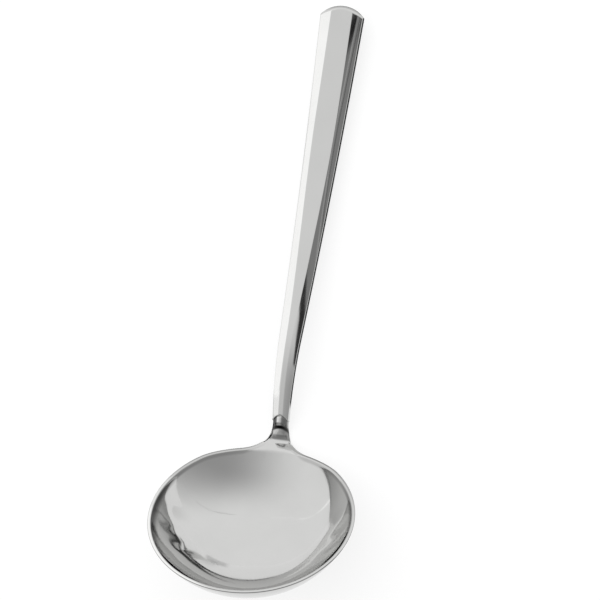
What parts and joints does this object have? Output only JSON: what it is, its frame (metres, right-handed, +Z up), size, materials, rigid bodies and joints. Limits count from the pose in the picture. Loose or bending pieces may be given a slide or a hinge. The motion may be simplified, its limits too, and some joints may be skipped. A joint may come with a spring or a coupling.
{
  "type": "soup ladle",
  "caption": "Polished steel soup ladle: a round drawn bowl, a forged bent neck and a long, tapering, faceted hollow handle with a domed end.",
  "frame": {"origin": "middle of the ladle's footprint, at the height of the table that it lies on", "axes": "+Z up from the table, +Y from the bowl along the handle to its domed end, X across the bowl"},
  "size_m": [0.0946, 0.2902, 0.0623],
  "materials": {
    "polished_steel": "bare stainless steel, mirror polished",
    "ground_weld": "stainless filler bead, ground flush and polished over"
  },
  "bodies": {
    "root": {"bowl": "polished_steel", "neck": "polished_steel", "neck_foot_weld": "ground_weld", "handle_front_shell": "polished_steel", "handle_back_shell": "polished_steel", "handle_seam_weld": "ground_weld", "handle_mouth_weld": "ground_weld"}
  },
  "joints": []
}
